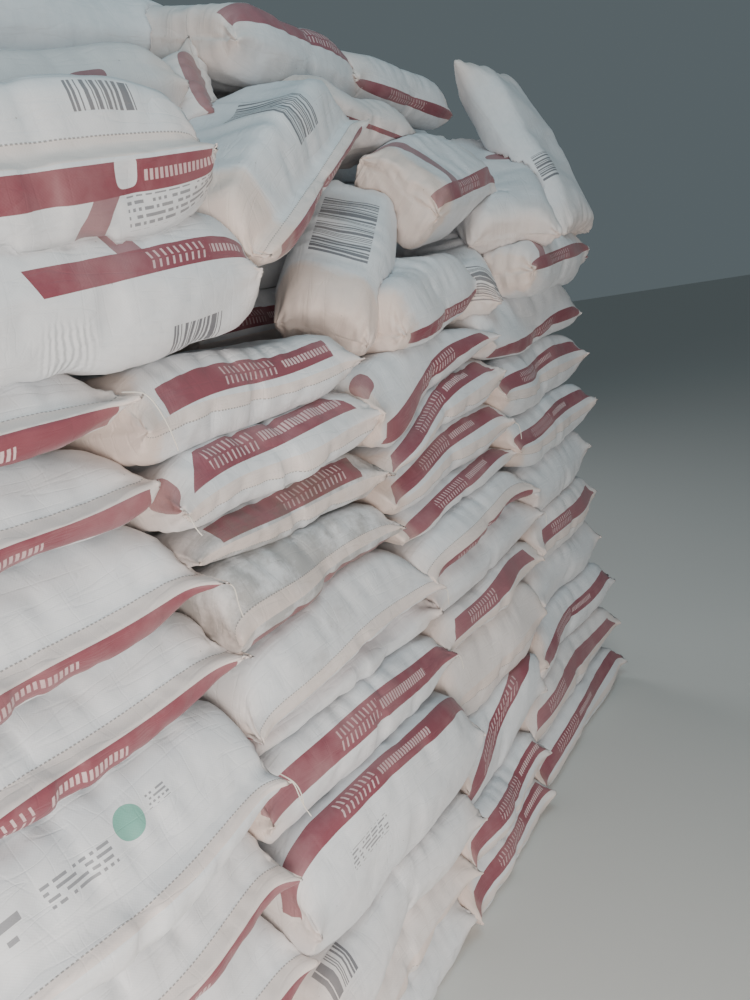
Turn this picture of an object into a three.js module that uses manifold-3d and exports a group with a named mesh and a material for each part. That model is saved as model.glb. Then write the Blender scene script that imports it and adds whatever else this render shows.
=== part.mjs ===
// A tall stack of 25 kg flour sacks: woven plastic sacks laid lengthwise in four bays, two rows deep,
// with a heap of looser sacks thrown across the top.
// Millimetres. X runs along the face of the stack, -Y faces the aisle, +Z is up.
// The layout is measured from the near end of the stack's face line at floor level, and the finished
// group is moved so that the origin is the middle of its footprint.
import * as THREE from "three";
import { mergeVertices } from "three/addons/utils/BufferGeometryUtils.js";
import Module from "manifold-3d";

// Driving dimensions
const rowWidth = 420; // one filled sack lying flat
const clearance = 0.3; // between sacks that press on each other
const endGap = 0.8; // between the ends of one bay and the next
const backEdge = 2 * rowWidth;
const clothWhite = 0xd6d8d6;

// The seams between the bays lean: where each seam stands along the face at these heights, from the
// near end of the stack to its far end
const heights = [0, 280, 450, 900, 1150, 1450, 1600];
const seams = [
  [0, 0, 0, 0, -20, -60, -60],
  [560, 575, 620, 645, 655, 585, 575],
  [1150, 1190, 1330, 1350, 1225, 1180, 1165],
  [1680, 1720, 1900, 2060, 1910, 1840, 1820],
  [2540, 2560, 2580, 2600, 2630, 2600, 2590],
];

// The courses of each bay from the floor up: height of the course's top at the near end and at the far
// end, and where its front edge stands against the face line (minus is proud of it).
const bays = [
  [
    [205, 205, -75], [410, 405, -60], [610, 605, -50], [800, 795, -50], [1040, 1030, -80],
    [1190, 1190, -15], [1370, 1370, -15], [1505, 1515, 0], [1635, 1645, 5],
  ],
  [
    [145, 145, -75], [285, 270, -90], [420, 385, -100], [665, 665, -85], [835, 805, -30],
    [905, 915, 0], [1055, 1100, -30], [1232, 1200, -15], [1300, 1345, 5], [1430, 1475, -25],
    [1600, 1600, -5],
  ],
  [
    [140, 140, -80], [280, 275, -80], [470, 460, -40], [685, 680, -15], [800, 800, -15],
    [925, 940, 0], [1045, 1060, -15], [1138, 1145, 5], [1245, 1300, -5], [1290, 1450, -20],
    [1510, 1525, -15],
  ],
  [
    [160, 160, -60], [330, 335, -40], [505, 510, -25], [680, 685, 0], [850, 860, -10],
    [1030, 1035, 5], [1210, 1210, -10], [1400, 1400, 0], [1580, 1590, -5],
  ],
];

// Courses that the back row alone has above the even ones: the top of each above the four bays
const upperCourses = [
  [1770, 1750, 1720, 1780],
  [1900, 1920, 1980, 2010],
  [2020, 2080, 2220, 2240],
];
const upperFront = rowWidth + 25;

// The loose sacks on top, in the order they were thrown on. Middle of the sack, its turn about Z, the
// rise of its far end and its roll in degrees, then its length, width and thickness, and the height of
// its long edges as a share of its thickness.
const looseSacks = [
  { at: [583, 165, 1730], turn: -2, rise: 1, roll: 3, size: [636, 400, 224], edgeLine: 0.5 },
  { at: [503, 143, 1899], turn: -3, rise: 7, roll: 10, size: [650, 405, 235], edgeLine: 0.56 },
  { at: [1590, 131, 1627], turn: 7, rise: 9, roll: 7, size: [496, 300, 183], edgeLine: 0.35 },
  { at: [1425, 168, 1734], turn: 17, rise: 36, roll: 27, size: [507, 265, 190], edgeLine: 0.5 },
  { at: [1130, 150, 1950], turn: 12, rise: 28, roll: 7, size: [620, 350, 180], edgeLine: 0.25 },
  { at: [2030, 215, 1690], turn: 38, rise: 22, roll: 0, size: [580, 255, 170], edgeLine: 0.5 },
  { at: [1850, 139, 1906], turn: 7, rise: 10, roll: 46, size: [480, 270, 212], edgeLine: 0.72 },
  { at: [2295, 75, 1668], turn: 2, rise: 4, roll: 6, size: [520, 330, 178], edgeLine: 0.5 },
  { at: [2490, 150, 1668], turn: 4, rise: 2, roll: 8, size: [520, 360, 175], edgeLine: 0.5 },
  { at: [2270, 125, 1900], turn: 35, rise: 32, roll: 5, size: [586, 310, 170], edgeLine: 0.5 },
  { at: [2455, 60, 2005], turn: -89, rise: -65, roll: 0, size: [600, 320, 150], edgeLine: 0.5 },
  { at: [1636, 293, 2094], turn: 2, rise: -6, roll: 5, size: [492, 337, 120], edgeLine: 0.5 },
  { at: [1073, 461, 2047], turn: 118, rise: -20, roll: -62, size: [500, 265, 150], edgeLine: 0.5 },
  { at: [1518, 407, 2272], turn: 8, rise: 0, roll: 16, size: [600, 379, 165], edgeLine: 0.5 },
  { at: [2090, 426, 2272], turn: 1, rise: -4, roll: 23, size: [576, 368, 142], edgeLine: 0.5 },
  { at: [787, 425, 2099], turn: -4, rise: 10, roll: 8, size: [620, 401, 160], edgeLine: 0.5 },
  { at: [1019, 610, 2315], turn: 0, rise: 6, roll: 12, size: [665, 393, 165], edgeLine: 0.5 },
];

// A sack's form: places along its length with the share of full height there and how far its long
// edges draw in
const endShape = [[0, 0.42, 26], [0.045, 0.82, 9], [0.15, 1, 0], [0.85, 1, 0], [0.955, 0.82, 9], [1, 0.42, 26]];

// Across its width: place, share of height above the edge's line, and share of height below it
const bluntEdge = [[0, 0, 0], [0.05, 0.72, 0.72], [0.17, 1, 1]];
const slopingEdge = [[0, 0, 0], [0.07, 0.4, 0.75], [0.18, 0.74, 1], [0.36, 1, 1]];
const pressedEdge = [[0, 0.42, 0.42], [0.1, 1, 1]];

// The first bay's sacks bulge above a low front edge, and the others stand more upright
const bayFronts = [
  { edge: slopingEdge, edgeLine: 0.3 },
  { edge: bluntEdge, edgeLine: 0.45 },
  { edge: bluntEdge, edgeLine: 0.45 },
  { edge: bluntEdge, edgeLine: 0.45 },
];
const upperEdgeLine = 0.45;
const leastSlope = 0.3; // keeps the press forms' sharp corners short

const wasm = await Module();
wasm.setup();

// Where a seam stands along the face at a height
function seamAt(seam, z) {
  const over = heights.findIndex((height) => height > z);
  if (over < 0) return seams[seam].at(-1);
  const share = (z - heights[over - 1]) / (heights[over] - heights[over - 1]);
  return THREE.MathUtils.lerp(seams[seam][over - 1], seams[seam][over], share);
}

// Where a share of the way along a bay is at a height
function alongBay(bay, along, z, gap) {
  return THREE.MathUtils.lerp(seamAt(bay, z) + gap / 2, seamAt(bay + 1, z) - gap / 2, along);
}

// One closed mesh from rings of points. The first half of a ring runs over the top and the second half
// back underneath, so that its points pair up across the two end faces.
function loft(rings) {
  const count = rings[0].length;
  const half = count / 2;
  const last = (rings.length - 1) * count;
  const index = [];
  for (let r = 0; r < last; r += count) {
    for (let i = 0; i < count; i++) {
      const j = (i + 1) % count;
      index.push(r + i, r + count + j, r + j, r + i, r + count + i, r + count + j);
    }
  }
  for (let i = 0; i < half; i++) {
    const under = (count - i) % count;
    const nextUnder = count - i - 1;
    if (i > 0) index.push(i, i + 1, under, last + i, last + under, last + i + 1);
    if (i + 1 < half) index.push(i + 1, nextUnder, under, last + i + 1, last + under, last + nextUnder);
  }
  const geometry = new THREE.BufferGeometry();
  const places = rings.flat().flatMap((point) => point.toArray());
  geometry.setAttribute("position", new THREE.Float32BufferAttribute(places, 3));
  geometry.setIndex(index);
  return geometry;
}

// The spots across one sack from its front edge to its back edge, as [y, share above, share below]
function across(front, back, frontEdge, rearEdge) {
  const width = back - front;
  const fromFront = frontEdge.map(([place, over, under]) => [front + place * width, over, under]);
  const fromBack = rearEdge.map(([place, over, under]) => [back - place * width, over, under]);
  return [...fromFront, ...fromBack.reverse()];
}

// One section of a sack: up over the top from the front edge to the back edge, and back underneath.
// alongAt gives a point's x from its height.
function section(alongAt, spots, bottom, top, edgeLine, fullness, drawIn) {
  const edge = bottom + edgeLine * (top - bottom);
  const inner = spots.slice(1, -1);
  const point = (y, z) => new THREE.Vector3(alongAt(z), y, z);
  const above = inner.map(([y, over]) => point(y, edge + (top - edge) * over * fullness));
  const below = inner.map(([y, , under]) => point(y, edge + (bottom - edge) * under * fullness));
  const front = point(spots[0][0] + drawIn, edge);
  const back = point(spots.at(-1)[0] - drawIn, edge);
  return [front, ...above, back, ...below.reverse()];
}

// One course of a bay: a front sack and a back sack pressed together along the middle
function course(bay, bottomEnds, topEnds, front) {
  const { edge, edgeLine } = bayFronts[bay];
  const middle = rowWidth + front / 2;
  const frontSack = across(front, middle, edge, pressedEdge);
  const backSack = across(middle, backEdge, pressedEdge, bluntEdge);
  const spots = [...frontSack, ...backSack.slice(1)];
  return loft(endShape.map(([along, fullness, drawIn]) => {
    const alongAt = (z) => alongBay(bay, along, z, endGap);
    const bottom = THREE.MathUtils.lerp(...bottomEnds, along);
    const top = THREE.MathUtils.lerp(...topEnds, along);
    return section(alongAt, spots, bottom, top, edgeLine, fullness, drawIn);
  }));
}

// One upper course: four sacks end to end in the back row
function upperCourse(bottomEnds, tops) {
  const spots = across(upperFront, backEdge, bluntEdge, bluntEdge);
  const stations = bottomEnds.flatMap((ends, bay) => {
    const shape = bay === 0 ? endShape : endShape.slice(1);
    return shape.map(([along, fullness, drawIn]) => {
      const alongAt = (z) => alongBay(bay, along, z, 0);
      const bottom = THREE.MathUtils.lerp(...ends, along) + clearance;
      return section(alongAt, spots, bottom, tops[bay], upperEdgeLine, fullness, drawIn);
    });
  });
  return loft(stations);
}

// One loose sack about its own middle
function looseSack(length, width, thickness, edgeLine) {
  const spots = across(-width / 2, width / 2, bluntEdge, bluntEdge);
  return loft(endShape.map(([along, fullness, drawIn]) => {
    const alongAt = () => (along - 0.5) * length;
    return section(alongAt, spots, -thickness / 2, thickness / 2, edgeLine, fullness, drawIn);
  }));
}

function toSolid(geometry) {
  const bare = new THREE.BufferGeometry();
  bare.setAttribute("position", geometry.getAttribute("position"));
  bare.setIndex(geometry.getIndex());
  const merged = mergeVertices(bare, 1e-4);
  const vertProperties = new Float32Array(merged.getAttribute("position").array);
  const triVerts = new Uint32Array(merged.getIndex().array);
  return new wasm.Manifold(new wasm.Mesh({ numProp: 3, vertProperties, triVerts }));
}

function toGeometry(solid) {
  const mesh = solid.getMesh();
  const geometry = new THREE.BufferGeometry();
  geometry.setAttribute("position", new THREE.BufferAttribute(mesh.vertProperties, 3));
  geometry.setIndex(new THREE.BufferAttribute(mesh.triVerts, 1));
  return geometry;
}

// What the next sacks are shaped by, in the stack's frame: this sack, and its form a little larger all
// round
function pressesOf(mesh) {
  const geometry = mesh.geometry.clone();
  geometry.computeVertexNormals();
  const position = geometry.getAttribute("position");
  const normal = geometry.getAttribute("normal");
  const corner = new THREE.Triangle();
  const steepest = new Float32Array(position.count).fill(1);
  const ids = geometry.getIndex().array;
  for (let i = 0; i < ids.length; i += 3) {
    corner.setFromAttributeAndIndices(position, ids[i], ids[i + 1], ids[i + 2]);
    const facing = corner.getNormal(new THREE.Vector3());
    for (const id of ids.slice(i, i + 3)) {
      const slope = facing.dot(new THREE.Vector3().fromBufferAttribute(normal, id));
      steepest[id] = Math.min(steepest[id], Math.max(slope, leastSlope));
    }
  }
  for (let i = 0; i < position.count; i++) {
    const place = new THREE.Vector3().fromBufferAttribute(position, i);
    const outward = new THREE.Vector3().fromBufferAttribute(normal, i);
    place.addScaledVector(outward, clearance / steepest[i]);
    position.setXYZ(i, ...place.toArray());
  }
  return [mesh.geometry, geometry].map((form) => form.clone().applyMatrix4(mesh.matrix));
}

// Takes away from a sack whatever the sacks laid before it would press out of it, with any crumb that
// this leaves loose
function pressBack(mesh, forms) {
  const toLocal = mesh.matrix.clone().invert();
  let solid = toSolid(mesh.geometry);
  for (const form of forms) {
    solid = solid.subtract(toSolid(form.clone().applyMatrix4(toLocal)));
  }
  const bodies = solid.decompose().sort((a, b) => b.volume() - a.volume());
  mesh.geometry = toGeometry(bodies[0]);
}

const stack = new THREE.Group();

function add(name, geometry, place = new THREE.Vector3(), rotation = new THREE.Euler()) {
  const material = new THREE.MeshStandardMaterial({ color: clothWhite, roughness: 0.62, metalness: 0 });
  const mesh = new THREE.Mesh(geometry, material);
  mesh.name = name;
  mesh.position.copy(place);
  mesh.rotation.copy(rotation);
  mesh.updateMatrix();
  stack.add(mesh);
  return mesh;
}

const bayForms = bays.map((courses, bay) => {
  let bottomEnds = [0, 0];
  return courses.flatMap(([near, far, front], layer) => {
    const name = `bay_${bay + 1}_course_${String(layer + 1).padStart(2, "0")}`;
    const floorGap = layer === 0 ? 0 : clearance;
    const lower = bottomEnds.map((z) => z + floorGap);
    const mesh = add(name, course(bay, lower, [near, far], front));
    bottomEnds = [near, far];
    return pressesOf(mesh);
  });
});

// Where a seam bends, the end of a sack gives way to the sacks of the bay before
stack.children.forEach((mesh) => {
  const bay = Number(mesh.name.split("_")[1]) - 1;
  if (bay > 0) pressBack(mesh, bayForms[bay - 1]);
});

const pressForms = bayForms.flat();
let lowerEnds = bays.map((courses) => courses.at(-1).slice(0, 2));
upperCourses.forEach((tops, layer) => {
  const mesh = add(`upper_course_${layer + 1}`, upperCourse(lowerEnds, tops));
  pressForms.push(...pressesOf(mesh));
  lowerEnds = tops.map((top) => [top, top]);
});

looseSacks.forEach(({ at, turn, rise, roll, size, edgeLine }, index) => {
  const [x, y, z] = [roll, -rise, turn].map(THREE.MathUtils.degToRad);
  const name = `loose_sack_${String(index + 1).padStart(2, "0")}`;
  const form = looseSack(...size, edgeLine);
  const mesh = add(name, form, new THREE.Vector3(...at), new THREE.Euler(x, y, z, "ZYX"));
  const forms = pressesOf(mesh);
  pressBack(mesh, pressForms);
  pressForms.push(...forms);
});

const footprint = new THREE.Box3().setFromObject(stack, true);
const middle = footprint.getCenter(new THREE.Vector3());
stack.position.set(-middle.x, -middle.y, 0);

export default stack;
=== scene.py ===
import math
import random
from functools import partial
import bpy
import numpy as np
from mathutils import Euler, Matrix, Vector
from mathutils.bvhtree import BVHTree


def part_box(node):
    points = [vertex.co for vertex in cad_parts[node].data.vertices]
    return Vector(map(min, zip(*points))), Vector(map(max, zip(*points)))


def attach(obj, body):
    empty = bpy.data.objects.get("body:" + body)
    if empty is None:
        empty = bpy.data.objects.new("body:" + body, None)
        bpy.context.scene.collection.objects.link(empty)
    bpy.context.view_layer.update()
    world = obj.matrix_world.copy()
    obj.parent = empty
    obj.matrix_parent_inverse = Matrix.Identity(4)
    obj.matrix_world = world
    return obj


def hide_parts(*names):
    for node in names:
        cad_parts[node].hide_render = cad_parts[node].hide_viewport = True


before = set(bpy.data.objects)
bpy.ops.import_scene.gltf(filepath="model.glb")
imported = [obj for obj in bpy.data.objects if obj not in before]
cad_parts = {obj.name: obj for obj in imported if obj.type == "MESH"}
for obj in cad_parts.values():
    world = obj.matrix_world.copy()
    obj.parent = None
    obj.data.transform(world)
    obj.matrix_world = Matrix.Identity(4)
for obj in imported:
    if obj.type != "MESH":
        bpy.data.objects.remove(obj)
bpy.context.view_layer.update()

print("frame loaded")

# Layout in millimetres, the same driving values as the solids
stack = {"rowWidth": 420, "clearance": 0.3, "endGap": 0.8, "upperSetBack": 25}

# Where each seam between the bays stands along the face at these heights
heights = [0, 280, 450, 900, 1150, 1450, 1600]
seams = [
    [0, 0, 0, 0, -20, -60, -60],
    [560, 575, 620, 645, 655, 585, 575],
    [1150, 1190, 1330, 1350, 1225, 1180, 1165],
    [1680, 1720, 1900, 2060, 1910, 1840, 1820],
    [2540, 2560, 2580, 2600, 2630, 2600, 2590],
]

# Each course of a bay from the floor up: its top at the near end and at the far end, its front edge against
# the face line, how high its long edge is as a share of its thickness, and what its cloth carries
bays = [
    [
        ((205, 205), -75, 0.30, "stripeUnder"),
        ((410, 405), -60, 0.30, "stripeUnder"),
        ((610, 605), -50, 0.30, "stripeUnder"),
        ((800, 795), -50, 0.27, "stripeUnder"),
        ((1040, 1030), -80, 0.25, "spotted"),
        ((1190, 1190), -15, 0.33, "stripeUnder"),
        ((1370, 1370), -15, 0.27, "stripeUnder"),
        ((1505, 1515), 0, 0.32, "stripeUnder"),
        ((1635, 1645), 5, 0.32, "stripeUnder"),
    ],
    [
        ((145, 145), -75, 0.45, "plain"),
        ((285, 270), -90, 0.45, "dusty"),
        ((420, 385), -100, 0.45, "barred"),
        ((665, 665), -85, 0.45, "highStripe"),
        ((835, 805), -30, 0.45, "wideStripe"),
        ((905, 915), 0, 0.45, "plain"),
        ((1055, 1100), -30, 0.12, "scuffed"),
        ((1232, 1200), -15, 0.30, "soiled"),
        ((1300, 1345), 5, 0.45, "soiledStripe"),
        ((1430, 1475), -25, 0.45, "patchedStripe"),
        ((1600, 1600), -5, 0.45, "risingStripe"),
    ],
    [
        ((140, 140), -80, 0.45, "edgeStripe"),
        ((280, 275), -80, 0.45, "edgeStripe"),
        ((470, 460), -40, 0.45, "steepStripe"),
        ((685, 680), -15, 0.45, "dusty"),
        ((800, 800), -15, 0.45, "fadedStripe"),
        ((925, 940), 0, 0.45, "plain"),
        ((1045, 1060), -15, 0.30, "stripeUnder"),
        ((1138, 1145), 5, 0.45, "levelStripe"),
        ((1245, 1300), -5, 0.45, "edgeStripe"),
        ((1290, 1450), -20, 0.45, "edgeStripe"),
        ((1510, 1525), -15, 0.45, "climbingStripe"),
    ],
    [
        ((160, 160), -60, 0.45, "edgeStripe"),
        ((330, 335), -40, 0.45, "fadedStripe"),
        ((505, 510), -25, 0.45, "levelStripe"),
        ((680, 685), 0, 0.45, "plain"),
        ((850, 860), -10, 0.45, "fadedStripe"),
        ((1030, 1035), 5, 0.45, "plain"),
        ((1210, 1210), -10, 0.45, "edgeStripe"),
        ((1400, 1400), 0, 0.45, "edgeStripe"),
        ((1580, 1590), -5, 0.30, "whiteTop"),
    ],
]
slackEars = {"sack_bay_1_08_front": (1, 0.4)}  # where a sack's ears aren't as its bay's
upperTops = [(1770, 1750, 1720, 1780), (1900, 1920, 1980, 2010), (2020, 2080, 2220, 2240)]  # above each bay

# Loose sacks in the order they were thrown on: middle; turn, rise and roll in degrees; length, width and
# thickness; height of the long edges as a share of the thickness; width of each end as a share of the width;
# what the cloth carries; and how far the ears stick out at the near end and at the far one
sackParts = ("at", "turns", "size", "edge", "nose", "cloth", "ears")
looseSacks = [dict(zip(sackParts, row)) for row in (
    ((583, 165, 1730), (-2, 1, 3), (636, 400, 224), 0.5, 0.97, "looseStripe", (1, 0.2)),
    ((503, 143, 1899), (-3, 7, 10), (650, 405, 235), 0.56, 0.97, "looseBand", (1, 0.2)),
    ((1590, 131, 1627), (7, 9, 7), (496, 300, 183), 0.35, 0.85, "noseStripe", (0.2, 1)),
    ((1425, 168, 1734), (17, 36, 27), (507, 265, 190), 0.5, 0.78, "noseBars", (0.2, 1)),
    ((1130, 150, 1950), (12, 28, 7), (620, 350, 180), 0.25, 0.88, "noseBoth", (0.2, 1)),
    ((2030, 215, 1690), (38, 22, 0), (580, 255, 170), 0.5, 0.76, "column", (1, 1)),
    ((1850, 139, 1906), (7, 10, 46), (480, 270, 212), 0.72, 0.90, "noseBand", (0.2, 1)),
    ((2295, 75, 1668), (2, 4, 6), (520, 330, 178), 0.5, 0.86, "lowBand", (0.4, 1)),
    ((2490, 150, 1668), (4, 2, 8), (520, 360, 175), 0.5, 0.82, "shortStripe", (1, 1)),
    ((2270, 125, 1900), (35, 32, 5), (586, 310, 170), 0.5, 0.76, "folded", (1, 1)),
    ((2455, 60, 2005), (-89, -65, 0), (600, 320, 150), 0.5, 0.80, "eared", (2.4, 0.4)),
    ((1636, 293, 2094), (2, -6, 5), (492, 337, 120), 0.5, 0.70, "lined", (1, 2.0)),
    ((1073, 461, 2047), (118, -20, -62), (500, 265, 150), 0.5, 0.90, "panelled", (1.6, 1)),
    ((1518, 407, 2272), (8, 0, 16), (600, 379, 165), 0.5, 0.84, "topStripe", (1, 1)),
    ((2090, 426, 2272), (1, -4, 23), (576, 368, 142), 0.5, 0.80, "frontStripe", (1, 1)),
    ((787, 425, 2099), (-4, 10, 8), (620, 401, 160), 0.5, 0.84, "worn", (1, 1)),
    ((1019, 610, 2315), (0, 6, 12), (665, 393, 165), 0.5, 0.84, "plain", (1, 1)),
)]

mm = 0.001
gap = stack["clearance"] * mm
rowWidth = stack["rowWidth"] * mm
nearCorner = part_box("bay_1_course_01")
originX = nearCorner[0][0] - stack["endGap"] / 2 * mm
originY = nearCorner[1][1] - 2 * stack["rowWidth"] * mm


# Camera: where it stands against the near end of the face line, and how it is held
camera = {"place": (-0.146, -0.965, 1.643), "heading": 36.4, "tilt": -15.02, "lean": -10.45, "lens": 26.82,
          "sensor": 36}


def placeCamera():
    data = bpy.data.cameras.new("camera")
    data.lens = camera["lens"]
    data.sensor_width = camera["sensor"]
    thing = bpy.data.objects.new("camera", data)
    x, y, z = camera["place"]
    heading = math.radians(camera["heading"] - 90)
    aim = Matrix.Rotation(heading, 4, "Z") @ Matrix.Rotation(math.radians(90 + camera["tilt"]), 4, "X")
    aim = aim @ Matrix.Rotation(math.radians(camera["lean"]), 4, "Z")
    thing.matrix_world = Matrix.Translation((originX + x, originY + y, z)) @ aim
    bpy.context.scene.collection.objects.link(thing)
    bpy.context.scene.camera = thing


placeCamera()


def linear(hexColour):
    # sRGB hex to the linear values that the shader wants
    parts = [int(hexColour[i:i + 2], 16) / 255 for i in (1, 3, 5)]
    return tuple(c / 12.92 if c <= 0.04045 else ((c + 0.055) / 1.055) ** 2.4 for c in parts) + (1.0,)


def addNode(tree, kind, inputs=(), output=0, **settings):
    # one node: settings are its properties, and inputs its sockets in order or by name, each with a value or
    # with another node's output
    made = tree.nodes.new("ShaderNode" + kind)
    for name, value in settings.items():
        setattr(made, name, value)
    pairs = inputs.items() if isinstance(inputs, dict) else enumerate(inputs)
    for socket, value in pairs:
        if isinstance(value, bpy.types.NodeSocket):
            tree.links.new(value, made.inputs[socket])
        else:
            made.inputs[socket].default_value = value
    return made.outputs[output] if made.outputs else None


# Woven polypropylene: flat tapes extruded from film and woven plain, printed in one colour and dusted with
# the flour that it holds. It looks chalky white, with a faint waxy sheen and a fine square grain. Sizes are
# in metres.
wovenCloth = {
    "white": "#dbe0e5",
    "shade": "#c3cad1",
    "dust": "#dbccc4",
    "crimson": "#74102b",
    "fadedCrimson": "#7f3a4a",
    "mark": "#d9c3c4",
    "ink": "#454852",
    "grime": "#6b665f",
    "speck": "#6f6961",
    "stitch": "#74726f",
    "green": "#5aa392",
    "roughness": 0.55,
    "ior": 1.49,
    "tape": 0.0050,  # tapes are 2.5 mm wide, drawn at twice that so that they show
    "stitchPitch": 0.0072,
    "stitchHalf": 0.0012,
    "barPitch": 0.0024,
    "markPitch": 0.0135,
    "blockPitch": 0.0095,
    "dashPitch": (0.0055, 0.0100),
    "bandHalf": 0.025,  # half width of the band that crosses a sack beside its stripe
    "spotRadius": 0.026,
    "noseEdge": 0.03,  # how gradually the pinkish beige of a nose ends
    "pleatPitch": 0.012,
    "creases": (((4.0, 26.0, 0.0), 0.55), ((20.0, 5.0, 0.0), 0.30)),  # for each kind: per metre, and depth
    "creaseHalf": 0.035,  # share of the noise's range that a crease takes
    "bump": (0.40, 0.0022),
    # how well each ink covers the cloth
    "covers": {"patch": 0.85, "stripe": 0.94, "cross": 0.80, "shield": 0.92, "bars": 0.85, "rows": 0.70,
               "spot": 0.90},
}
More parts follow.
